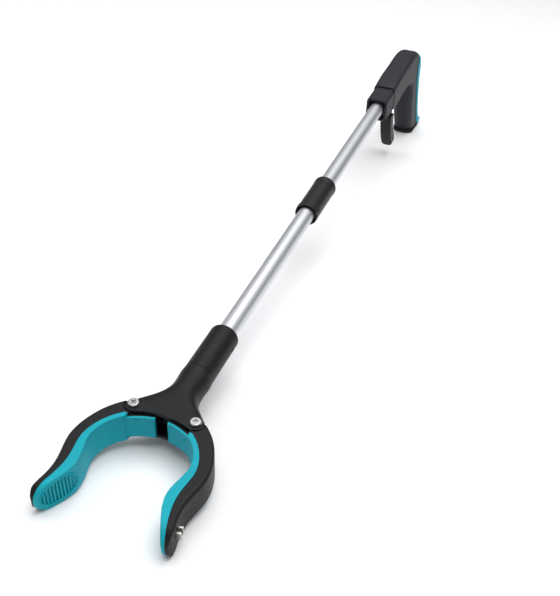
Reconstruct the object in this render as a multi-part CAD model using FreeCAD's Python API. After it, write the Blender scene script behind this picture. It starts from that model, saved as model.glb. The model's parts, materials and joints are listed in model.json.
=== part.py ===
import FreeCAD, Part
import math
import os

# A folding reacher grabber. Millimetres. The tool is drawn level, with the tube's axis on X,
# the jaws at +X, the grip hanging towards -Z and X = 0 at the two jaw pivots. The last step lays
# it down as it rests, on the tips of its jaws and the base of its grip.

V = FreeCAD.Vector

# Tubes
tube_od = 16.0
tube_wall = 1.0
tube_fit = 0.04             # radial gap of a glued or pinned joint
run_fit = 0.05              # radial gap of a turning or sliding fit
lower_tube_length = 230.0   # from its seat in the neck to the fold
upper_tube_length = 280.0   # from the fold to its seat in the handle
wire_diameter = 1.5

# Jaws
pivot_half_span = 24.0
jaw_reach = 93.0            # from the pivots to the tips
jaw_height = 23.4
jaw_close = 26.0            # degrees that each jaw turns
crank_back = 4.0            # degrees that the crank leans back when the jaw is open
pivot_diameter = 4.0
drive_pin_diameter = 3.0
liner_lip = 0.6             # how far the liner stands past the shell, above and below
liner_rib_count = 10
dish_half_length = 14.0
dish_half_height = 9.0
dish_from_tip = 17.5        # from the tip to the middle of the ribbed hollow

# Head
head_height = 24.5
plate_thickness = 2.5
plate_end_radius = 7.0
turn_gap = 0.35             # gap that lets a moving plastic piece pass a fixed one
neck_diameter = 24.2
neck_seam_x = -54.0
neck_rear_x = -105.0
spigot_diameter = 17.0
spigot_length = 15.0
nut_radius = 3.5            # across the corners, halved

# Fold and its lock collar
fold_pin_diameter = 1.6
knuckle_radius = 1.6
collar_length = 58.0
collar_overhang = 10.0      # length of collar in front of the fold
collar_clearance = 2.0      # radial room round the folded knuckles
collar_wall = 1.3
collar_ring_length = 8.0
collar_rim_height = 0.4

# Handle
nose_length = 33.0
nose_width = 25.0
nose_height = 27.0
housing_width = 26.0
housing_wall = 2.4
nose_rounding = 5.0
grip_rounding = 10.5
housing_length = 128.0      # from the nose to the rear of the grip's root
trigger_pull = 22.0         # degrees that the trigger turns
wire_arm = 11.0             # from the trigger's pivot down to the wire
trigger_pin_diameter = 4.0
base_cap_height = 5.0
overmould_skin = 1.1

# How the tool lies
rest_tilt = 7.0             # degrees that the tube slopes down to the jaws

tube_r = tube_od / 2
tube_ri = tube_r - tube_wall
fold_pin_rise = tube_r
collar_bore = tube_od + 2 * collar_clearance
wire_r = wire_diameter / 2
half_jaw = jaw_height / 2
tip_round = half_jaw + liner_lip
half_head = head_height / 2
half_gap = half_head - plate_thickness
half_root = half_gap - turn_gap
neck_r = neck_diameter / 2
tube_seat_x = neck_rear_x + 2.0 + 26.0
fold_x = tube_seat_x - lower_tube_length
nose_rear_x = fold_x - upper_tube_length + 9.0
nose_front_x = nose_rear_x + nose_length
tube_rear_x = fold_x - upper_tube_length
collar_front_x = fold_x + collar_overhang
collar_rear_x = collar_front_x - collar_length
collar_r = collar_bore / 2 + collar_wall
half_housing = housing_width / 2

wire_travel = 2 * wire_arm * math.sin(math.radians(trigger_pull / 2))
crank_sweep = math.sin(math.radians(crank_back + jaw_close)) - math.sin(math.radians(crank_back))
crank_radius = wire_travel / crank_sweep
pin_x = -crank_radius * math.sin(math.radians(crank_back))
pin_y = pivot_half_span - crank_radius * math.cos(math.radians(crank_back))
pin_y_shut = pivot_half_span - crank_radius * math.cos(math.radians(crank_back + jaw_close))

trigger_x = tube_rear_x - 19.0
trigger_z = wire_arm


def floor_z(x):
    """Height of the floor below the level tool, at one place along it."""
    tilt = math.radians(rest_tilt)
    return -tip_round / math.cos(tilt) - (jaw_reach - tip_round - x) * math.tan(tilt)


def cap_z(x):
    """Height of the base cap's upper face, on which the grip stands."""
    return floor_z(x) + (base_cap_height + 0.02) / math.cos(math.radians(rest_tilt))


# Shapes

def corner_arc(before, corner, after, radius):
    """Start, middle and end of the arc that rounds one corner."""
    back = before - corner
    ahead = after - corner
    half = back.getAngle(ahead) / 2
    if radius == 0 or half > 1.5706:
        return corner, corner, corner
    reach = radius / math.tan(half)
    back = back.normalize()
    ahead = ahead.normalize()
    middle = (back + ahead).normalize() * (radius / math.sin(half) - radius)
    return corner + back * reach, corner + middle, corner + ahead * reach


def closed_wire(points):
    """Closed outline of (u, v, radius) corners; a smooth curve runs through those with None."""
    count = len(points)
    places = [V(u, v, 0) for u, v, r in points]
    firm = [i for i in range(count) if points[i][2] is not None]
    arcs = {}
    for i in firm:
        arcs[i] = corner_arc(places[i - 1], places[i], places[(i + 1) % count], points[i][2])
    edges = []
    for n in range(len(firm)):
        here = firm[n]
        after = firm[(n + 1) % len(firm)]
        start, middle, stop = arcs[here]
        if (stop - start).Length > 1e-6:
            edges.append(Part.Arc(start, middle, stop).toShape())
        between = [places[(here + k) % count] for k in range(1, (after - here) % count)]
        run = [stop] + between + [arcs[after][0]]
        if not between:
            edges.append(Part.LineSegment(run[0], run[1]).toShape())
            continue
        curve = Part.BSplineCurve()
        curve.interpolate(run)
        edges.append(curve.toShape())
    return Part.Wire(edges)


def plan_slab(points, low, high):
    """Outline seen from above, filled between two heights."""
    face = Part.Face(closed_wire(points))
    face.translate(V(0, 0, low))
    return face.extrude(V(0, 0, high - low))


def side_slab(points, half_width, inset=0.0):
    """Outline seen from the side, filled from -half_width to half_width."""
    face = Part.Face(closed_wire(points))
    if inset:
        face = face.makeOffset2D(-inset)
    face.translate(V(0, 0, -half_width))
    solid = face.extrude(V(0, 0, 2 * half_width))
    solid.rotate(V(0, 0, 0), V(1, 0, 0), 90)
    return solid.toNurbs() if inset else solid


def bar_x(radius, start, stop, y=0.0, z=0.0):
    return Part.makeCylinder(radius, abs(stop - start), V(min(start, stop), y, z), V(1, 0, 0))


def bar_y(radius, start, stop, x, z):
    return Part.makeCylinder(radius, abs(stop - start), V(x, min(start, stop), z), V(0, 1, 0))


def bar_z(radius, start, stop, x, y):
    return Part.makeCylinder(radius, abs(stop - start), V(x, y, min(start, stop)), V(0, 0, 1))


def block(x0, x1, y0, y1, z0, z1):
    return Part.makeBox(x1 - x0, y1 - y0, z1 - z0, V(x0, y0, z0))


def mirrored(shape):
    return shape.mirror(V(0, 0, 0), V(0, 1, 0))


def fused(first, *others):
    result = first
    for shape in others:
        result = result.fuse(shape)
    return result.removeSplitter()


def rounded(solid, radius, chosen):
    """Fillets the edges that the test picks out."""
    return solid.makeFillet(radius, [edge for edge in solid.Edges if chosen(edge)])


# Jaws, drawn open, for the side at +Y

outer_line = [
    (-3.0, 30.5, 1.5), (1.5, 35.4, None), (8.0, 40.8, None), (18.0, 46.4, None),
    (30.0, 50.4, None), (42.0, 51.4, None), (53.0, 49.4, None), (64.0, 47.4, None),
    (76.0, 47.8, None), (86.0, 49.4, None), (jaw_reach - 0.2, 48.8, 1.6)]
seam_line = [
    (85.0, 44.4, None), (75.0, 41.8, None), (64.0, 40.2, None), (52.0, 41.0, None),
    (40.0, 42.4, None), (27.0, 39.4, None), (17.0, 33.4, None)]
inner_line = [
    (jaw_reach, 44.4, 1.0), (83.0, 39.9, None), (72.0, 35.0, None), (64.0, 33.0, None),
    (56.0, 33.4, None), (48.0, 35.3, None), (38.0, 37.2, None), (28.0, 35.4, None),
    (20.0, 31.0, None), (13.6, 24.4, 0)]
wing_front = [(9.0, 16.5), (7.0, 10.5), (5.8, 5.0)]
wing_skin = 2.0
wing_back = 1.8


def plate_clearance(radius):
    """What the head's two plates need, above and below the jaw's root."""
    above = bar_z(radius, half_root, half_jaw + 1, 0, pivot_half_span)
    below = bar_z(radius, -half_jaw - 1, -half_root, 0, pivot_half_span)
    return above.fuse(below)


def wing(front_offset, thickness):
    """The jaw's inner wall, which reaches along the head's mouth to the middle."""
    (x0, y0), (x1, y1), (x2, y2) = wing_front
    front = [(14.6 - front_offset, 27.0, 0), (x0 - front_offset, y0, None),
             (x1 - front_offset, y1, None), (x2 - front_offset, y2, 0)]
    back = [(x - thickness, y, r) for x, y, r in reversed(front)]
    return plan_slab(front + back, -half_root, half_root)


def jaw_outline(half_height):
    """The whole jaw, seen from above."""
    return plan_slab(outer_line + inner_line + [(4.0, 22.6, 0), (-4.0, 25.0, 0)], -half_height, half_height)


def round_tip(solid):
    """Rounds the tip as it is seen from the side."""
    centre_x = jaw_reach - tip_round
    keep = block(-30, centre_x, -80, 80, -30, 30).fuse(bar_y(tip_round, -80, 80, centre_x, 0))
    return solid.common(keep)


def inner_side():
    """Everything on the liner's side of the seam between shell and liner."""
    return plan_slab([(jaw_reach + 8, 48.6, 0)] + seam_line + [(9.6, 26.0, 0), (9.6, -10, 0),
                     (jaw_reach + 8, -10, 0)], -40, 40)


def jaw_shell():
    body = jaw_outline(half_jaw)
    body = rounded(body, 2.6, lambda e: abs(abs(e.CenterOfMass.z) - half_jaw) < 1e-4
                   and e.CenterOfMass.y > 46 and e.Length > 40)
    body = round_tip(body.cut(inner_side()))
    body = body.cut(plate_clearance(plate_end_radius + turn_gap))
    boss = bar_z(5.2, -half_root, half_root, 0, pivot_half_span)
    rear = block(-6, 14, 17, 24.2, -half_root, half_root)
    body = body.cut(rear.cut(boss))
    tongue_width = drive_pin_diameter + 3.4
    tongue = block(0, crank_radius, -tongue_width / 2, tongue_width / 2, -3, 3)
    tongue = tongue.fuse(bar_z(tongue_width / 2, -3, 3, crank_radius, 0))
    tongue.rotate(V(0, 0, 0), V(0, 0, 1), -90 - crank_back)
    tongue.translate(V(0, pivot_half_span, 0))
    backing = wing(wing_skin, wing_back)
    link = plan_slab([(0, 23.0, 0), (8.0, 21.2, 0), (11.0, 25.2, 0), (4, 29, 0)], -half_root, half_root)
    body = fused(body, boss, tongue, backing, link)
    bore = pivot_diameter / 2 + run_fit
    body = body.cut(bar_z(bore, -half_jaw - 1, half_jaw + 1, 0, pivot_half_span))
    return body.cut(bar_z(drive_pin_diameter / 2, -9, 9, pin_x, pin_y))


def jaw_liner():
    pad = round_tip(jaw_outline(half_jaw + liner_lip).common(inner_side()))
    pad = pad.cut(plate_clearance(plate_end_radius + turn_gap + 1.0))
    face_start = V(jaw_reach, 44.4, 0)
    face_end = V(72.0, 35.0, 0)
    along = (face_end - face_start).normalize()
    slope = math.degrees(math.atan2(-along.y, -along.x))
    middle = face_start + along * dish_from_tip
    dish = Part.Face(Part.Wire(Part.Ellipse(V(0, 0, 0), dish_half_length, dish_half_height).toShape()))
    dish = dish.extrude(V(0, 0, 3.4))
    ribs = []
    pitch = 2 * dish_half_length / (liner_rib_count + 1)
    for i in range(liner_rib_count):
        place = pitch * (i + 1) - dish_half_length
        ribs.append(block(place - 0.6, place + 0.6, -tip_round, tip_round, -1.0, 2.7))
    hollow = dish.cut(dish.common(Part.makeCompound(ribs)))
    hollow.rotate(V(0, 0, 0), V(1, 0, 0), 90)
    hollow.translate(V(0, 1.3, 0))
    hollow.rotate(V(0, 0, 0), V(0, 0, 1), slope)
    hollow.translate(middle)
    return fused(pad.cut(hollow), wing(0.0, wing_skin))


magnet_place = V(78.0, 46.8, 0)
magnet_turn = 9.0           # degrees, square to the jaw's outer face
magnet_half = 3.0
ferrite_half = 1.5
magnet_sink = 1.2


def on_magnet(solid):
    """Moves a shape from the origin to the magnet's place in the left jaw's outer face."""
    solid.rotate(V(0, 0, 0), V(0, 0, 1), magnet_turn)
    solid.translate(magnet_place)
    return solid


def magnet_ferrite():
    return on_magnet(block(-ferrite_half, ferrite_half, -magnet_sink, 3.8, -magnet_half, magnet_half))


def magnet_poles():
    """The two steel plates that hold the ferrite block between them."""
    front = block(ferrite_half, magnet_half, -magnet_sink, 4.4, -magnet_half, magnet_half)
    back = block(-magnet_half, -ferrite_half, -magnet_sink, 4.4, -magnet_half, magnet_half)
    return on_magnet(Part.makeCompound([front, back]))


def magnet_pocket():
    return on_magnet(block(-magnet_half, magnet_half, -magnet_sink, 8, -magnet_half, magnet_half))


def drive_pin():
    return bar_z(drive_pin_diameter / 2, -6.4, 6.4, pin_x, pin_y)


# Head

def oval(x, half_width, half_depth, power):
    """Section across the tool, between a circle (power 2) and a box."""
    points = []
    for i in range(24):
        turn = 2 * math.pi * (i + 0.5) / 24
        c = math.cos(turn)
        s = math.sin(turn)
        y = half_width * math.copysign(abs(c) ** (2 / power), c)
        z = half_depth * math.copysign(abs(s) ** (2 / power), s)
        points.append(V(x, y, z))
    curve = Part.BSplineCurve()
    curve.interpolate(points, PeriodicFlag=True)
    return Part.Wire(curve.toShape())


def hexagon(radius, height, y, z):
    """Six-sided prism on a jaw pivot's axis, standing on z."""
    turns = [math.radians(60 * i) for i in range(7)]
    corners = [V(radius * math.cos(turn), y + radius * math.sin(turn), z) for turn in turns]
    return Part.Face(Part.makePolygon(corners)).extrude(V(0, 0, height))


def head_outer():
    reach = pivot_half_span + plate_end_radius
    sections = [
        oval(neck_seam_x, neck_r, neck_r, 2), oval(neck_seam_x + 13, neck_r, neck_r, 2.05),
        oval(-29, neck_r + 0.7, half_head, 2.3), oval(-20, 16.6, half_head, 3.2),
        oval(-9, 25.5, half_head, 5), oval(4, reach + 5, half_head, 9),
        oval(12, reach + 12, half_head, 12)]
    body = Part.makeLoft(sections, True, False)
    flare = [(neck_seam_x - 1, -40, 0), (-12, -40, 0), (-3.5, -reach, 6.0),
             (4.6, -reach + 0.6, 5.0), (7.0, -pivot_half_span + 0.5, 3.0), (2.4, 0, None)]
    other = [(x, -y, r) for x, y, r in reversed(flare[:-1])]
    return body.common(plan_slab(flare + other, -20, 20))


def head_cavity():
    """Room for the slider and the roots of both jaws, open at the front and at both sides."""
    wide = pivot_half_span + plate_end_radius + 4
    side = [(-25, 5.2, 1), (-16, 12.0, None), (-9.0, 18.5, None), (-8.2, wide, 0), (30, wide, 0)]
    other = [(x, -y, r) for x, y, r in side]
    return plan_slab(other + side[::-1], -half_gap, half_gap)


def head_shell(top):
    body = head_outer().cut(head_cavity())
    spigot = bar_x(spigot_diameter / 2, neck_seam_x - spigot_length, neck_seam_x + 1)
    groove = bar_x(spigot_diameter / 2 + 1, neck_seam_x - 12, neck_seam_x - 10)
    groove = groove.cut(bar_x(spigot_diameter / 2 - 1.2, neck_seam_x - 12, neck_seam_x - 10))
    body = fused(body, spigot.cut(groove))
    body = body.cut(bar_x(3.4, neck_seam_x - spigot_length - 1, -20))
    for side in (-1, 1):
        hole = bar_z(pivot_diameter / 2 + 0.1, -20, 20, 0, side * pivot_half_span)
        body = body.cut(hole)
        body = body.cut(bar_z(1.3, -10.5, 7.5, -34, side * 8.0))
        body = body.cut(bar_z(2.3, -20, -8.4, -34, side * 8.0))
        body = body.cut(hexagon(nut_radius + 0.1, 2.4, side * pivot_half_span, -half_head - 1))
    if top:
        return body.common(block(-120, 60, -60, 60, 0.02, 40))
    return body.common(block(-120, 60, -60, 60, -40, -0.02))


def pan_screw(radius, head_radius, crown, length, slot):
    """Pan-head screw standing on z = 0, with its shank below and a cross in its crown."""
    head = Part.makeCylinder(head_radius, crown)
    head = rounded(head, crown * 0.55, lambda e: e.CenterOfMass.z > crown - 1e-6
                   and e.Curve.TypeId == "Part::GeomCircle")
    shank = Part.makeCylinder(radius, length + 0.2, V(0, 0, -length))
    solid = fused(head, shank)
    for turn in (0, 90):
        blade = block(-slot / 2, slot / 2, -slot * 2.2, slot * 2.2, crown * 0.4, crown + 1)
        blade.rotate(V(0, 0, 0), V(0, 0, 1), turn)
        solid = solid.cut(blade)
    return solid


def pivot_screws():
    screws = []
    for side in (-1, 1):
        screw = pan_screw(pivot_diameter / 2, 4.2, 2.0, head_height, 1.0)
        screw.rotate(V(0, 0, 0), V(0, 0, 1), 20 * side)
        screw.translate(V(0, side * pivot_half_span, half_head))
        screws.append(screw)
    return Part.makeCompound(screws)


def pivot_nuts():
    nuts = []
    for y in (-pivot_half_span, pivot_half_span):
        nut = hexagon(nut_radius, 2.0, y, -half_head - 0.6)
        nuts.append(nut.cut(bar_z(pivot_diameter / 2, -20, 0, 0, y)))
    return Part.makeCompound(nuts)


def head_screws():
    screws = []
    for side in (-1, 1):
        screw = pan_screw(1.2, 2.1, 1.3, 14.0, 0.7)
        screw.rotate(V(0, 0, 0), V(1, 0, 0), 180)
        screw.translate(V(-34, side * 8.0, -8.4))
        screws.append(screw)
    return Part.makeCompound(screws)


def retaining_ring():
    """Snap ring in the spigot's groove, which keeps the turning head in the neck."""
    ring = bar_x(spigot_diameter / 2 + 0.9, neck_seam_x - 11.7, neck_seam_x - 10.3)
    ring = ring.cut(bar_x(spigot_diameter / 2 - 1.1, neck_seam_x - 12, neck_seam_x - 10))
    return ring.cut(block(neck_seam_x - 13, neck_seam_x - 9, -1.5, 1.5, 4, 12))


def neck_connector():
    body = bar_x(neck_r, neck_rear_x, neck_seam_x - 0.3)
    body = rounded(body, 3.0, lambda e: e.CenterOfMass.x < neck_rear_x + 1e-6
                   and e.Curve.TypeId == "Part::GeomCircle")
    body = body.cut(bar_x(spigot_diameter / 2 + run_fit, neck_seam_x - spigot_length - 0.5, neck_seam_x))
    body = body.cut(bar_x(spigot_diameter / 2 + 1.1, neck_seam_x - 12.1, neck_seam_x - 9.9))
    body = body.cut(bar_x(tube_r + tube_fit, neck_rear_x - 1, tube_seat_x))
    body = body.cut(bar_x(3.4, neck_rear_x, neck_seam_x))
    return body.cut(bar_y(1.5, -20, 20, tube_seat_x - 14, 0))


def tube_pin(x, half_length):
    """Hollow spring pin across a tube, either side of the wire."""
    pin = bar_y(1.5, -half_length, half_length, x, 0)
    gap = block(x - 2, x + 2, -tube_ri + 1.5, tube_ri - 1.5, -2, 2)
    return pin.cut(gap)


def slider():
    arm = pin_y_shut + drive_pin_diameter / 2 + 0.3 + 1.2
    front = pin_x + drive_pin_diameter / 2 + 0.3 + 1.1
    half = [(-5.4, 7.0, 0), (front, 13.0, 0), (front, arm, 0), (pin_x - 3.0, arm, 0),
            (-5.6, 13.4, 0), (-12.0, 4.6, 0), (-17.0, 4.2, 0)]
    other = [(x, -y, r) for x, y, r in reversed(half)]
    plates = plan_slab(half + other, 3.3, 5.6)
    plates = plates.fuse(plan_slab(half + other, -5.6, -3.3))
    web = block(-17.0, -5.6, -4.2, 4.2, -5.6, 5.6)
    rod = bar_x(2.9, -32, -16)
    body = fused(plates, web, rod)
    gap = drive_pin_diameter / 2 + 0.3
    for side in (-1, 1):
        low = pin_y - gap
        high = pin_y_shut + gap
        slot = block(pin_x - gap, pin_x + gap, low + gap, high - gap, -9, 9)
        slot = slot.fuse(bar_z(gap, -9, 9, pin_x, low + gap))
        slot = slot.fuse(bar_z(gap, -9, 9, pin_x, high - gap))
        if side < 0:
            slot = mirrored(slot)
        body = body.cut(slot)
    return body.cut(bar_x(wire_r, -40, -22))


# Wire

wire_gap = 14.0             # rigid wire ends this far from the fold


def wire_front():
    return bar_x(wire_r, fold_x + wire_gap, -22.2)


def wire_fold():
    return bar_x(wire_r, fold_x - wire_gap + 5, fold_x + wire_gap - 5)


def wire_rear():
    return bar_x(wire_r, trigger_x - 12, fold_x - wire_gap)


def wire_nipple():
    body = bar_x(1.8, trigger_x - 10.4, trigger_x - 5.0)
    return body.cut(bar_x(wire_r, trigger_x - 13, trigger_x))


# Tubes, fold and collar

def tube(start, stop, pin_at=None):
    body = bar_x(tube_r, start, stop).cut(bar_x(tube_ri, start - 1, stop + 1))
    if pin_at is not None:
        body = body.cut(bar_y(1.5, -20, 20, pin_at, 0))
    return body


def fold_plug(direction, knuckles):
    """Plug in one tube's end, with a flange and its knuckles on top."""
    face = fold_x + 0.2 * direction
    flange = bar_x(tube_r, face, fold_x + 4 * direction)
    body = bar_x(tube_ri - tube_fit, face, fold_x + 20 * direction)
    body = fused(flange, body)
    body = body.cut(bar_y(knuckle_radius + 0.3, -9, 9, fold_x, fold_pin_rise))
    for low, high in knuckles:
        knuckle = bar_y(knuckle_radius, low, high, fold_x, fold_pin_rise)
        knuckle = knuckle.common(bar_x(collar_bore / 2 - 0.35, fold_x - 8, fold_x + 8))
        body = fused(body, knuckle, knuckle_web(direction, low, high))
    body = body.cut(bar_y(fold_pin_diameter / 2 + run_fit, -12, 12, fold_x, fold_pin_rise))
    return body.cut(bar_x(2.6, fold_x - 40, fold_x + 40))


def knuckle_web(direction, low, high):
    """Web from the flange up to a knuckle."""
    x0 = fold_x + 0.2 * direction
    x1 = fold_x + 4.0 * direction
    corners = [V(x0, low, 5.0), V(x1, low, 5.0), V(x1, low, 7.4), V(fold_x + 1.2 * direction, low, 9.0),
               V(x0, low, 8.6), V(x0, low, 5.0)]
    web = Part.Face(Part.makePolygon(corners)).extrude(V(0, high - low, 0))
    return web.common(bar_x(collar_bore / 2 - 0.35, fold_x - 8, fold_x + 8))


def fold_pin():
    return bar_y(fold_pin_diameter / 2, -3.6, 3.6, fold_x, fold_pin_rise)


def lock_collar():
    body = bar_x(collar_r, collar_rear_x, collar_front_x)
    body = rounded(body, 1.0, lambda e: e.Curve.TypeId == "Part::GeomCircle")
    rim = bar_x(collar_r + collar_rim_height, collar_rear_x, collar_rear_x + 5)
    rim = rounded(rim, 1.2, lambda e: e.Curve.TypeId == "Part::GeomCircle")
    body = fused(body, rim)
    body = body.cut(bar_x(collar_bore / 2, collar_rear_x + collar_ring_length, collar_front_x + 1))
    body = body.cut(bar_x(tube_r + run_fit, collar_rear_x - 1, collar_front_x))
    body = body.cut(block(collar_rear_x + 9, collar_rear_x + 15, -1.4, 1.4, tube_r, 2 * tube_r))
    for i in range(3):
        for side in (-1, 1):
            mark = bar_x(0.4, collar_front_x - 9, collar_front_x - 4)
            mark.translate(V(0, side * collar_r, 0))
            mark.rotate(V(0, 0, 0), V(1, 0, 0), side * (14 + 8 * i))
            body = body.fuse(mark)
    return body.removeSplitter()


def collar_button():
    """Small detent button in the collar's slot."""
    return block(collar_rear_x + 9.2, collar_rear_x + 14.8, -1.2, 1.2, collar_bore / 2 - 0.6,
                 collar_r - 0.3)


# Handle, seen from the side as (x, z)

def handle_profile():
    rear = nose_rear_x - housing_length
    base_front = rear - 12.0
    base_rear = rear - 58.0
    return [
        (nose_rear_x, nose_height / 2 + 2.0, 0), (nose_rear_x - 24, nose_height / 2 + 5.2, None),
        (nose_rear_x - 64, nose_height / 2 + 6.2, None),
        (rear + 8, nose_height / 2 + 3.0, None), (rear - 13, 2.0, None), (rear - 20, -24.0, None),
        (rear - 31, -58.0, None), (rear - 47, -90.0, None),
        (base_rear, cap_z(base_rear), 0),
        (base_front, cap_z(base_front), 0),
        (rear + 4, -78.0, None), (rear + 14, -48.0, None), (rear + 22, -26.0, None),
        (rear + 40, -18.0, None), (nose_rear_x - 40, -nose_height / 2 - 3.6, None),
        (nose_rear_x, -nose_height / 2 - 1.0, 0)]


def handle_solid():
    """Rounded a little where it meets the nose and more and more towards the grip's foot."""
    body = side_slab(handle_profile(), half_housing)
    for low in (False, True):
        for edge in body.Edges:
            at_side = abs(edge.CenterOfMass.y + half_housing) < 1e-4 and edge.Length > 50
            if at_side and (edge.CenterOfMass.z < -30) == low:
                start = edge.valueAt(edge.FirstParameter)
                end = edge.valueAt(edge.LastParameter)
                radii = (nose_rounding, grip_rounding)
                if start.x < end.x:
                    radii = (grip_rounding, nose_rounding)
                body = body.makeFillet(radii[0], radii[1], [edge])
                break
    half = body.common(block(-1200, 0, -60, 0, -300, 60))
    return half.fuse(mirrored(half))


def handle_cavity():
    """Hollow of the handle, in two steps that follow the rounding outside, full at the trigger."""
    narrow = side_slab(handle_profile(), half_housing - 6.4, housing_wall)
    wide = side_slab(handle_profile(), half_housing - housing_wall, housing_wall + 3.2)
    full = side_slab(handle_profile(), half_housing - housing_wall, housing_wall)
    return narrow.fuse([wide, full.common(block(trigger_x - 12, 0, -15, 15, -60, 40))])


def trigger_slot():
    return block(trigger_x - 25, trigger_x + 9.5, -4.6, 4.6, -30, -10)


screw_places = [(trigger_x - 38, 6.0), (trigger_x - 88, -6.0), (trigger_x - 118, -82.0)]


def handle_half():
    """The half at -Y, with its inner bosses but without the screws' counterbores."""
    body = handle_solid()
    body = body.common(block(-1200, 0, -60, -0.02, -300, 60))
    body = body.cut(handle_cavity())
    bosses = [bar_y(4.0, -half_housing + 1, -0.02, x, z) for x, z in screw_places]
    bosses.append(bar_y(3.0, -half_housing + 1, -4.9, trigger_x, trigger_z))
    body = body.fuse(bosses)
    body = body.cut(trigger_slot())
    body = body.cut(block(nose_rear_x - 9.3, nose_rear_x + 1, -10.3, 10.3, -10.3, 10.3))
    body = body.cut(bar_x(tube_r + tube_fit, tube_rear_x - 0.4, nose_rear_x))
    body = body.cut(bar_y(trigger_pin_diameter / 2, -10.5, 10.5, trigger_x, trigger_z))
    for x, z in screw_places:
        body = body.cut(bar_y(1.3, -11, 9, x, z))
    return body


def handle_right_half():
    body = handle_half()
    for x, z in screw_places:
        body = body.cut(bar_y(2.8, -20, -half_housing + 3.0, x, z))
    return body


def handle_screws():
    screws = []
    for x, z in screw_places:
        screw = pan_screw(1.3, 2.5, 1.5, 15.0, 0.8)
        screw.rotate(V(0, 0, 0), V(1, 0, 0), 90)
        screw.translate(V(x, -half_housing + 3.0, z))
        screws.append(screw)
    return Part.makeCompound(screws)


def nose_block():
    half_w = nose_width / 2
    half_h = nose_height / 2
    body = block(nose_rear_x, nose_front_x, -half_w, half_w, -half_h, half_h)
    body = rounded(body, 5.0, lambda e: abs(e.BoundBox.XLength - nose_length) < 1e-4)
    body = rounded(body, 1.6, lambda e: e.CenterOfMass.x > nose_front_x - 1e-4)
    spigot = block(nose_rear_x - 9, nose_rear_x + 1, -10, 10, -10, 10)
    body = fused(body, spigot)
    mouth = block(nose_front_x - 7, nose_front_x + 1, -half_w + 2.6, half_w - 2.6, -half_h + 2.8, half_h - 2.8)
    mouth = rounded(mouth, 3.0, lambda e: abs(e.BoundBox.XLength - 8) < 1e-4)
    body = body.cut(mouth)
    body = body.cut(bar_x(tube_r + tube_fit, nose_rear_x - 10, nose_front_x + 1))
    return body.cut(bar_y(1.5, -20, 20, nose_front_x - 16, 0))


def overmould():
    """Soft skin over the back of the grip, with the upper half of the heel."""
    rear = nose_rear_x - housing_length
    band = [
        (rear + 2, 12.0, 0), (rear - 14.0, 3.4, None), (rear - 21.6, -23.0, None), (rear - 32.6, -57.4, None),
        (rear - 48.6, -89.4, None), (rear - 58.0, -101.0, None), (rear - 71.0, -108.0, 0),
        (rear - 71.0, cap_z(rear - 71), 0),
        (rear - 47.0, cap_z(rear - 47), 0),
        (rear - 33.0, -90.0, None), (rear - 17.0, -58.0, None), (rear - 3.0, -24.0, None)]
    skin = side_slab(band, half_housing + overmould_skin)
    skin = rounded(skin, grip_rounding - 2.0, lambda e: abs(abs(e.CenterOfMass.y) - half_housing - overmould_skin) < 1e-4
                   and e.Length > 60 and e.CenterOfMass.x < rear - 22)
    for x, z in screw_places:
        skin = skin.cut(bar_y(3.0, -20, 0, x, z))
    return skin.cut(handle_solid())


def base_cap():
    rear = nose_rear_x - housing_length
    front_x = rear - 10.5
    back_x = rear - 74.0
    outline = [
        (front_x, -half_housing - 0.8, 11.0), (rear - 52.0, -half_housing - 0.8, 12.0),
        (back_x, -8.5, 6.0), (back_x, 8.5, 6.0), (rear - 52.0, half_housing + 0.8, 12.0),
        (front_x, half_housing + 0.8, 11.0)]
    cap = plan_slab(outline, 0, base_cap_height)
    cap = rounded(cap, 1.4, lambda e: e.CenterOfMass.z < 1e-6)
    cap.translate(V(-front_x, 0, 0))
    cap.rotate(V(0, 0, 0), V(0, 1, 0), -rest_tilt)
    cap.translate(V(front_x, 0, floor_z(front_x)))
    return cap


# Trigger

def trigger():
    x = trigger_x
    web = [(x + 4.2, 14.6, 3.6), (x + 6.4, -12.0, 0), (x + 4.6, -32.0, 0), (x - 2.0, -46.0, 0),
           (x - 13.0, -40.0, 0), (x - 9.5, -19.0, 0), (x - 3.6, -6.0, 0), (x - 3.6, 14.6, 3.2)]
    lever = [(x + 3.0, -34.0, 2.5), (x - 3.0, -54.0, None), (x - 12.0, -72.0, None),
             (x - 24.0, -88.0, 4.0), (x - 35.0, -88.0, 4.0), (x - 33.0, -79.0, None), (x - 23.0, -64.0, None),
             (x - 14.5, -49.0, None), (x - 12.0, -35.0, 2.5)]
    body = side_slab(web, 4.0)
    bow = side_slab(lever, 7.0)
    bow = rounded(bow, 1.6, lambda e: abs(abs(e.CenterOfMass.y) - 7.0) < 1e-4)
    foot = block(x - 60, x + 60, -7.0, 7.0, -81, 40).fuse(bar_x(7.0, x - 60, x + 60, 0, -81))
    body = fused(body, bow.common(foot))
    body = body.cut(bar_y(trigger_pin_diameter / 2 + run_fit, -9, 9, trigger_x, trigger_z))
    slot = block(x - 30, x + 30, -1.2, 1.2, -4.2, 3.2)
    return body.cut(slot)


def trigger_pin():
    return bar_y(trigger_pin_diameter / 2, -10.4, 10.4, trigger_x, trigger_z)


def trigger_spring():
    """Torsion spring round the housing's boss, with one leg back and one down."""
    radius = 3.7
    pitch = 1.05
    turns = 3.25
    coil = Part.Wire(Part.makeHelix(pitch, pitch * turns, radius))
    section = Part.Wire(Part.makeCircle(0.45, V(radius, 0, 0), V(0, 1, 0)))
    spring = coil.makePipeShell([section], True, True)
    spring.rotate(V(0, 0, 0), V(1, 0, 0), -90)
    spring.translate(V(trigger_x, 5.6, trigger_z))
    return spring


# Laying the tool down

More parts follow.
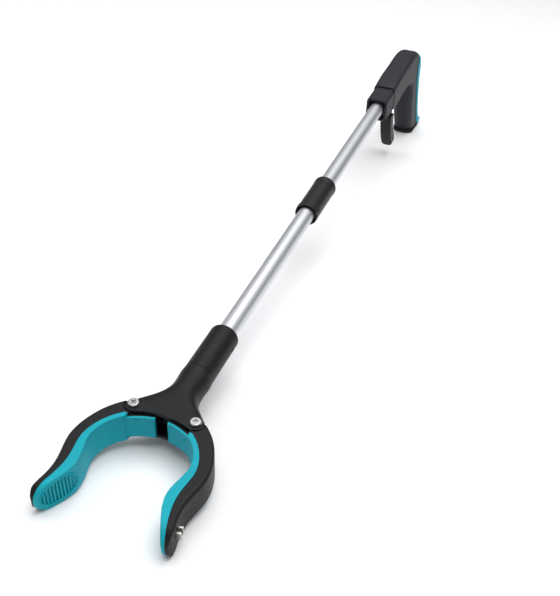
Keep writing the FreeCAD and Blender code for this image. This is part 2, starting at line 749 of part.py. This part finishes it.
def lay(shape, middle_x):
    """Tilts the level tool, so that the tips of its jaws and its base cap stand on the floor."""
    placed = shape.copy()
    placed.rotate(V(0, 0, 0), V(0, 1, 0), rest_tilt)
    turn = FreeCAD.Rotation(V(0, 1, 0), rest_tilt)
    placed.translate(V(-middle_x, 0, -turn.multVec(V(0, 0, floor_z(0))).z))
    return placed


def all_nodes():
    liner = jaw_liner()
    shell = jaw_shell().cut(liner)
    pin_neck = tube_seat_x - 14
    pin_nose = nose_front_x - 16
    return {
        "jaw_left_shell": shell.cut(magnet_pocket()),
        "jaw_right_shell": mirrored(shell),
        "jaw_left_liner": liner,
        "jaw_right_liner": mirrored(liner),
        "jaw_left_drive_pin": drive_pin(),
        "jaw_right_drive_pin": mirrored(drive_pin()),
        "magnet_ferrite": magnet_ferrite(),
        "magnet_pole_plates": magnet_poles(),
        "head_upper_shell": head_shell(True),
        "head_lower_shell": head_shell(False),
        "jaw_pivot_screws": pivot_screws(),
        "jaw_pivot_nuts": pivot_nuts(),
        "head_screws": head_screws(),
        "head_retaining_ring": retaining_ring(),
        "slider": slider(),
        "neck_connector": neck_connector(),
        "neck_tube_pin": tube_pin(pin_neck, neck_r - 0.8),
        "lower_tube": tube(fold_x + 4, tube_seat_x, pin_neck),
        "upper_tube": tube(tube_rear_x, fold_x - 4, pin_nose),
        "fold_front_plug": fold_plug(1, [(-1.1, 1.1)]),
        "fold_rear_plug": fold_plug(-1, [(-3.6, -1.4), (1.4, 3.6)]),
        "fold_pin": fold_pin(),
        "lock_collar": lock_collar(),
        "collar_button": collar_button(),
        "wire_front": wire_front(),
        "wire_fold": wire_fold(),
        "wire_rear": wire_rear(),
        "wire_nipple": wire_nipple(),
        "nose_block": nose_block(),
        "nose_tube_pin": tube_pin(pin_nose, nose_width / 2 - 0.8),
        "handle_left_half": mirrored(handle_half()),
        "handle_right_half": handle_right_half(),
        "grip_overmould": overmould(),
        "grip_base_cap": base_cap(),
        "handle_screws": handle_screws(),
        "trigger": trigger(),
        "trigger_pin": trigger_pin(),
        "trigger_spring": trigger_spring(),
    }


nodes = all_nodes()
laid = Part.makeCompound([lay(shape, 0.0) for shape in nodes.values()])
box = laid.optimalBoundingBox(False, False)
middle_x = (box.XMin + box.XMax) / 2
os.makedirs("parts", exist_ok=True)
for name, shape in nodes.items():
    lay(shape, middle_x).exportStep("parts/" + name + ".step")
    print(name, shape.isValid(), len(shape.Solids), round(shape.Volume))
print("middle_x", middle_x, "box", box.XLength, box.YLength, box.ZLength)
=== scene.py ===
import json
import math
import bpy
from mathutils import Matrix, Quaternion, Vector


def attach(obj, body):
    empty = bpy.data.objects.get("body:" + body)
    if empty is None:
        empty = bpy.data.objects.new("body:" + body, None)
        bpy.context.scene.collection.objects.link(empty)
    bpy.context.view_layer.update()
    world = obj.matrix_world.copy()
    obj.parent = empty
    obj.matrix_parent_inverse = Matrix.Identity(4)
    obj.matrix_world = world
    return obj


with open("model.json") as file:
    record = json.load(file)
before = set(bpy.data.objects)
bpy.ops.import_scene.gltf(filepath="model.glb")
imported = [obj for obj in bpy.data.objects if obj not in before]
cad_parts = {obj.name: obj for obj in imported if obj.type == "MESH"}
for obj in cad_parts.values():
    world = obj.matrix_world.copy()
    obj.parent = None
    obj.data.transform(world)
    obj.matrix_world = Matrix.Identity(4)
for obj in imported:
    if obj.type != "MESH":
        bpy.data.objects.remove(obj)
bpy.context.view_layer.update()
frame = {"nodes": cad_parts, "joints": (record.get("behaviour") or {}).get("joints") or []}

# A folding reacher grabber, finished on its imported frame. Metres, +Z up, jaws towards +X.

joints = {joint["name"]: joint for joint in frame["joints"]}
leftPivot = Vector(joints["jaw_left_swing"]["pos_m"])
rightPivot = Vector(joints["jaw_right_swing"]["pos_m"])
pivotMiddle = (leftPivot + rightPivot) / 2
tubeAxis = Vector(joints["head_turn"]["axis"]).normalized()  # from the handle to the jaws
sideAxis = Vector((0, 1, 0))
upAxis = tubeAxis.cross(sideAxis).normalized()
tubeTilt = math.atan2(-tubeAxis.z, tubeAxis.x)


# Camera and lights

camera = {"lens": 51.34, "along": 0.4144, "aside": 0.2082, "above": 0.3976,
          "forward": (-0.8098, -0.2586, -0.5267), "roll": 5.3}
lights = [
    {"name": "overheadSoftbox", "place": (-0.1, 0.25, 1.9), "aim": (0.0, 0.0, 0.0), "width": 2.4,
     "height": 1.6, "power": 31.0, "colour": (1.0, 1.0, 1.0)},
    {"name": "sideSoftbox", "place": (0.3, -1.3, 1.3), "aim": (0.0, 0.0, 0.05), "width": 1.0,
     "height": 1.0, "power": 5.0, "colour": (1.0, 1.0, 1.0)},
]
backdrop = {"size": 24.0, "shade": (0.93, 0.93, 0.935), "unevenness": 0.005, "roughness": 0.85}
studioSky = {"low": (0.11, 0.125, 0.15), "high": (1.0, 1.0, 1.0), "glow": 0.95,
             "dimBelow": 0.30, "fullAbove": 0.95}


def addCamera():
    data = bpy.data.cameras.new("mainCamera")
    data.lens = camera["lens"]
    data.sensor_width = 36.0
    data.sensor_fit = "AUTO"
    data.clip_start = 0.01
    data.clip_end = 50.0
    item = bpy.data.objects.new("mainCamera", data)
    bpy.context.collection.objects.link(item)
    turn = Vector(camera["forward"]).to_track_quat("-Z", "Y")
    turn = turn @ Quaternion((0, 0, 1), math.radians(camera["roll"]))
    offset = Vector((camera["along"], camera["aside"], camera["above"]))
    item.matrix_world = Matrix.LocRotScale(pivotMiddle + offset, turn, None)
    bpy.context.scene.camera = item


def addLights():
    for light in lights:
        data = bpy.data.lights.new(light["name"], "AREA")
        data.shape = "RECTANGLE"
        data.size = light["width"]
        data.size_y = light["height"]
        data.energy = light["power"]
        data.color = light["colour"]
        item = bpy.data.objects.new(light["name"], data)
        bpy.context.collection.objects.link(item)
        place = Vector(light["place"])
        turn = (Vector(light["aim"]) - place).to_track_quat("-Z", "Y")
        item.matrix_world = Matrix.LocRotScale(place, turn, None)
    world = bpy.context.scene.world or bpy.data.worlds.new("studio")
    bpy.context.scene.world = world
    world.use_nodes = True
    world.node_tree.nodes.clear()
    shade = Shade(world.node_tree)
    direction = shade.add("ShaderNodeTexCoord", output=0)
    height = shade.add("ShaderNodeSeparateXYZ", None, {0: direction}, output=2)
    colour = mixColour(height.ramp(studioSky["dimBelow"], studioSky["fullAbove"]),
                       studioSky["low"], studioSky["high"])
    sky = shade.add("ShaderNodeBackground", None, {"Color": colour, "Strength": studioSky["glow"]})
    shade.add("ShaderNodeOutputWorld", None, {"Surface": sky})
    bpy.context.scene.view_settings.view_transform = "Standard"


# Shader building

class Shade:
    # wraps one output socket, so that shader maths reads as plain expressions
    def __init__(self, tree, socket=None):
        self.tree = tree
        self.socket = socket

    def add(self, kind, settings=None, inputs=None, output=0):
        node = self.tree.nodes.new(kind)
        for name, value in (settings or {}).items():
            setattr(node, name, value)
        for name, value in (inputs or {}).items():
            if isinstance(value, Shade):
                self.tree.links.new(value.socket, node.inputs[name])
            else:
                node.inputs[name].default_value = value
        return Shade(self.tree, node.outputs[output] if node.outputs else None)

    def maths(self, operation, first, second):
        return self.add("ShaderNodeMath", {"operation": operation}, {0: first, 1: second})

    def __add__(self, other):
        return self.maths("ADD", self, other)

    def __sub__(self, other):
        return self.maths("SUBTRACT", self, other)

    def __rsub__(self, other):
        return self.maths("SUBTRACT", other, self)

    def __mul__(self, other):
        return self.maths("MULTIPLY", self, other)

    __radd__ = __add__
    __rmul__ = __mul__

    def ramp(self, low, high):
        # 0 below low, 1 above high
        return self.add("ShaderNodeMapRange", {"clamp": True},
                        {"Value": self, "From Min": low, "From Max": high})


def mixColour(factor, first, second):
    # first and second are (red, green, blue) or links
    pair = [value if isinstance(value, Shade) else (*value, 1.0) for value in (first, second)]
    return factor.add("ShaderNodeMix", {"data_type": "RGBA"},
                      {0: factor, 6: pair[0], 7: pair[1]}, output=2)


def noise(shade, vector, scale, detail=2.0, roughness=0.5):
    return shade.add("ShaderNodeTexNoise", {"noise_dimensions": "3D"},
                     {"Vector": vector, "Scale": scale, "Detail": detail, "Roughness": roughness})


def newMaterial(name):
    material = bpy.data.materials.new(name)
    material.use_nodes = True
    material.node_tree.nodes.clear()
    shade = Shade(material.node_tree)
    place = shade.add("ShaderNodeTexCoord", output=3)
    return material, shade, place


edgeLook = {"samples": 4, "starts": 0.02, "full": 0.25}


def softEdge(shade, radius):
    # normal rounded over the moulded edges, and how strongly each point lies on one
    bent = shade.add("ShaderNodeBevel", {"samples": edgeLook["samples"]}, {"Radius": radius})
    flat = shade.add("ShaderNodeNewGeometry", output=1)
    facing = shade.add("ShaderNodeVectorMath", {"operation": "DOT_PRODUCT"},
                       {0: bent, 1: flat}, output=1)
    return bent, (1 - facing).ramp(edgeLook["starts"], edgeLook["full"])


def bump(shade, height, strength, depth, normal=None):
    inputs = {"Strength": strength, "Distance": depth, "Height": height}
    if normal:
        inputs["Normal"] = normal
    return shade.add("ShaderNodeBump", None, inputs)


def closeMaterial(shade, colour, roughness, normal=None, metallic=0.0, gloss=0.5):
    inputs = {"Base Color": colour, "Roughness": roughness, "Metallic": metallic,
              "Specular IOR Level": gloss}
    if normal:
        inputs["Normal"] = normal
    surface = shade.add("ShaderNodeBsdfPrincipled", None, inputs)
    shade.add("ShaderNodeOutputMaterial", None, {"Surface": surface})


# Finishes

plastics = {
    "housingPlastic": {"colour": (0.015, 0.016, 0.019), "light": (0.028, 0.029, 0.034),
                       "roughness": 0.50, "grain": 2600.0, "edge": 0.0006},
    "headPlastic": {"colour": (0.0045, 0.0048, 0.006), "light": (0.010, 0.0105, 0.012),
                    "roughness": 0.44, "grain": 3200.0, "edge": 0.0006},
    "jawPlastic": {"colour": (0.004, 0.0043, 0.0052), "light": (0.010, 0.0105, 0.012),
                   "roughness": 0.46, "grain": 2600.0, "edge": 0.0004},
    "collarPlastic": {"colour": (0.011, 0.011, 0.012), "light": (0.022, 0.022, 0.024),
                      "roughness": 0.36, "grain": 3000.0, "edge": 0.0004},
    "triggerPlastic": {"colour": (0.005, 0.0053, 0.0065), "light": (0.012, 0.0125, 0.015),
                       "roughness": 0.42, "grain": 3000.0, "edge": 0.0005},
    "innerPlastic": {"colour": (0.016, 0.016, 0.017), "light": (0.030, 0.030, 0.032),
                     "roughness": 0.40, "grain": 2200.0, "edge": 0.0003},
    "footRubber": {"colour": (0.014, 0.014, 0.015), "light": (0.030, 0.030, 0.032),
                   "roughness": 0.72, "grain": 1900.0, "edge": 0.0006},
}


moulded = {"toneScale": 22.0, "scuffScale": 60.0, "scuffTurn": (0.3, 0.2, 0.7),
           "scuffStretch": (1.0, 14.0, 9.0), "bump": 0.35, "depth": 0.00012, "gloss": 0.24}


def plastic(name):
    # moulded plastic: spark-eroded grain, slow change of tone, faint scuffs, polished edges, and
    # edges paler from wear and a painted highlight
    look = plastics[name]
    material, shade, place = newMaterial(name)
    tone = noise(shade, place, moulded["toneScale"], 3.0)
    grain = noise(shade, place, look["grain"], 2.0, 0.6)
    stretched = shade.add("ShaderNodeMapping", None,
                          {"Vector": place, "Rotation": moulded["scuffTurn"],
                           "Scale": moulded["scuffStretch"]})
    scuff = noise(shade, stretched, moulded["scuffScale"], 4.0, 0.65).ramp(0.60, 0.72)
    normal, edge = softEdge(shade, look["edge"])
    # paler edges in the colour: partly rubbed wear, partly a painted highlight
    wearAndHighlight = scuff * 0.35 + edge * 0.55
    colour = mixColour(tone * 0.5 + wearAndHighlight, look["colour"], look["light"])
    roughness = look["roughness"] + grain * 0.12 - edge * 0.10 + scuff * 0.05
    bumped = bump(shade, grain, moulded["bump"], moulded["depth"], normal)
    closeMaterial(shade, colour, roughness, bumped, gloss=moulded["gloss"])
    return material


tealRubber = {"colour": (0.0015, 0.39, 0.46), "deep": (0.001, 0.31, 0.40),
              "light": (0.005, 0.46, 0.52), "roughness": 0.46, "mottle": 45.0, "grain": 2400.0,
              "pores": 1300.0, "edge": 0.0006, "bump": 0.25, "depth": 0.0001, "gloss": 0.22}


def teal():
    # soft rubber: even colour with a slight mottle, paler at the edges, where it is rubbed and
    # where a highlight is painted
    material, shade, place = newMaterial("tealRubber")
    mottle = noise(shade, place, tealRubber["mottle"], 4.0, 0.6)
    grain = noise(shade, place, tealRubber["grain"], 2.0, 0.5)
    pores = shade.add("ShaderNodeTexVoronoi", None,
                      {"Vector": place, "Scale": tealRubber["pores"]})
    normal, edge = softEdge(shade, tealRubber["edge"])
    base = mixColour(mottle.ramp(0.25, 0.75), tealRubber["deep"], tealRubber["colour"])
    # the paler edge colour is partly rubbed wear, partly a painted highlight
    colour = mixColour(edge * 0.6, base, tealRubber["light"])
    roughness = tealRubber["roughness"] + grain * 0.14 - edge * 0.06
    height = grain * 0.7 + pores * 0.3
    bumped = bump(shade, height, tealRubber["bump"], tealRubber["depth"], normal)
    closeMaterial(shade, colour, roughness, bumped, gloss=tealRubber["gloss"])
    return material


tubeFinish = {"colour": (0.60, 0.61, 0.63), "light": (0.76, 0.77, 0.79), "roughness": 0.40,
              "drawnStretch": (1.5, 420.0, 420.0), "lines": 6.0, "sand": 5200.0, "marks": 90.0,
              "bump": 0.16, "depth": 0.00004}


def anodisedTube():
    # satin anodised drawn tube: fine lines along its length and small handling marks
    material, shade, place = newMaterial("anodisedTube")
    level = shade.add("ShaderNodeMapping", {"vector_type": "TEXTURE"},
                      {"Vector": place, "Rotation": (0.0, tubeTilt, 0.0)})
    drawn = shade.add("ShaderNodeMapping", None,
                      {"Vector": level, "Scale": tubeFinish["drawnStretch"]})
    lines = noise(shade, drawn, tubeFinish["lines"], 4.0, 0.7)
    sand = noise(shade, place, tubeFinish["sand"], 2.0)
    marks = noise(shade, place, tubeFinish["marks"], 5.0, 0.7).ramp(0.66, 0.76)
    colour = mixColour(lines * 0.7 + sand * 0.3, tubeFinish["colour"], tubeFinish["light"])
    roughness = tubeFinish["roughness"] + lines * 0.10 + sand * 0.06 + marks * 0.10
    bumped = bump(shade, lines * 0.6 + sand * 0.4, tubeFinish["bump"], tubeFinish["depth"])
    closeMaterial(shade, colour, roughness, bumped, metallic=1.0)
    return material


metals = {
    "zincSteel": {"colour": (0.33, 0.33, 0.34), "light": (0.52, 0.52, 0.52), "roughness": 0.27},
    "springSteel": {"colour": (0.34, 0.34, 0.35), "light": (0.52, 0.52, 0.53), "roughness": 0.30},
    "nickelPlate": {"colour": (0.44, 0.42, 0.39), "light": (0.62, 0.60, 0.57), "roughness": 0.24},
}


plating = {"cloud": 320.0, "pits": 3800.0, "edge": 0.0002, "bump": 0.2, "depth": 0.00003}


def metal(name):
    # plated or drawn steel: cloudy sheen, tiny pits and bright edges, partly wear and partly a
    # painted highlight
    look = metals[name]
    material, shade, place = newMaterial(name)
    cloud = noise(shade, place, plating["cloud"], 4.0, 0.6)
    pits = noise(shade, place, plating["pits"], 2.0, 0.6)
    normal, edge = softEdge(shade, plating["edge"])
    # edge brightening in the colour is partly wear, partly a painted highlight
    colour = mixColour(cloud * 0.8 + edge * 0.2, look["colour"], look["light"])
    roughness = look["roughness"] + cloud * 0.14 + pits * 0.06
    bumped = bump(shade, pits, plating["bump"], plating["depth"], normal)
    closeMaterial(shade, colour, roughness, bumped, metallic=1.0)
    return material


ferriteFinish = {"colour": (0.018, 0.018, 0.020), "light": (0.055, 0.054, 0.056),
                 "roughness": 0.55, "speckle": 2600.0, "bump": 0.4, "depth": 0.00008}


def ferrite():
    # sintered block with a pale speckle
    material, shade, place = newMaterial("sinteredFerrite")
    speckle = noise(shade, place, ferriteFinish["speckle"], 3.0, 0.7).ramp(0.5, 0.7)
    colour = mixColour(speckle, ferriteFinish["colour"], ferriteFinish["light"])
    roughness = ferriteFinish["roughness"] + speckle * 0.15
    bumped = bump(shade, speckle, ferriteFinish["bump"], ferriteFinish["depth"])
    closeMaterial(shade, colour, roughness, bumped)
    return material


wornBy = {
    "housingPlastic": ["handle_left_half", "handle_right_half", "nose_block"],
    "headPlastic": ["head_upper_shell", "head_lower_shell", "neck_connector"],
    "jawPlastic": ["jaw_left_shell", "jaw_right_shell"],
    "collarPlastic": ["lock_collar", "collar_button"],
    "triggerPlastic": ["trigger"],
    "innerPlastic": ["slider", "fold_front_plug", "fold_rear_plug"],
    "footRubber": ["grip_base_cap"],
    "tealRubber": ["jaw_left_liner", "jaw_right_liner", "grip_overmould"],
    "anodisedTube": ["lower_tube", "upper_tube"],
    "zincSteel": ["jaw_pivot_screws", "jaw_pivot_nuts", "head_screws", "handle_screws",
                  "jaw_left_drive_pin", "jaw_right_drive_pin", "neck_tube_pin", "nose_tube_pin",
                  "fold_pin", "trigger_pin", "wire_nipple"],
    "springSteel": ["head_retaining_ring", "trigger_spring",
                    "wire_front", "wire_fold", "wire_rear"],
    "nickelPlate": ["magnet_pole_plates"],
    "sinteredFerrite": ["magnet_ferrite"],
}


def finishNodes():
    finishes = {name: plastic(name) for name in plastics}
    finishes.update({name: metal(name) for name in metals})
    finishes["tealRubber"] = teal()
    finishes["anodisedTube"] = anodisedTube()
    finishes["sinteredFerrite"] = ferrite()
    for finish, names in wornBy.items():
        for name in names:
            mesh = frame["nodes"][name].data
            mesh.materials.clear()
            mesh.materials.append(finishes[finish])
    return finishes


# Raised rim round each jaw's ribbed hollow

padRim = {"tip": (0.0930, 0.0444), "root": (0.0720, 0.0350), "fromTip": 0.0175,
          "halfLength": 0.0147, "halfHeight": 0.0097, "bead": 0.0006}


def addPadRim(side, jaw, finish):
    # side is 1 for the left jaw and -1 for the right one
    tip = Vector((padRim["tip"][0], padRim["tip"][1] * side, 0))
    root = Vector((padRim["root"][0], padRim["root"][1] * side, 0))
    inward = (root - tip).normalized()
    centre = tip + inward * padRim["fromTip"]
    bpy.ops.object.select_all(action="DESELECT")
    bpy.ops.mesh.primitive_torus_add(major_radius=padRim["halfLength"], minor_radius=padRim["bead"],
                                     major_segments=72, minor_segments=12)
    rim = bpy.context.object
    rim.name = "padRim" + jaw.title().replace("_", "")
    bpy.ops.object.mode_set(mode="EDIT")
    bpy.ops.mesh.select_all(action="SELECT")
    bpy.ops.transform.resize(value=(1.0, padRim["halfHeight"] / padRim["halfLength"], 1.0))
    bpy.ops.object.mode_set(mode="OBJECT")
    along = tubeAxis * inward.x + sideAxis * inward.y
    outward = along.cross(upAxis)
    axes = Matrix((along, upAxis, outward)).transposed().to_4x4()
    place = pivotMiddle + tubeAxis * centre.x + sideAxis * centre.y
    rim.matrix_world = Matrix.Translation(place) @ axes
    bpy.ops.object.transform_apply(location=True, rotation=True, scale=True)
    bpy.ops.object.shade_smooth()
    rim.data.materials.append(finish)
    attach(rim, jaw)


def addFloor():
    bpy.ops.object.select_all(action="DESELECT")
    bpy.ops.mesh.primitive_plane_add(size=backdrop["size"])
    floor = bpy.context.object
    floor.name = "studioFloor"
    material, shade, place = newMaterial("paleFloor")
    cloud = noise(shade, place, 3.0)
    darker = [value * (1 - backdrop["unevenness"]) for value in backdrop["shade"]]
    colour = mixColour(cloud, darker, backdrop["shade"])
    closeMaterial(shade, colour, backdrop["roughness"])
    floor.data.materials.append(material)


addCamera()
addLights()
addFloor()
print("camera, lights and floor are in place")
finishes = finishNodes()
print("finishes are on the frame's nodes")
addPadRim(1, "jaw_left", finishes["tealRubber"])
addPadRim(-1, "jaw_right", finishes["tealRubber"])
print("pads have their rims")
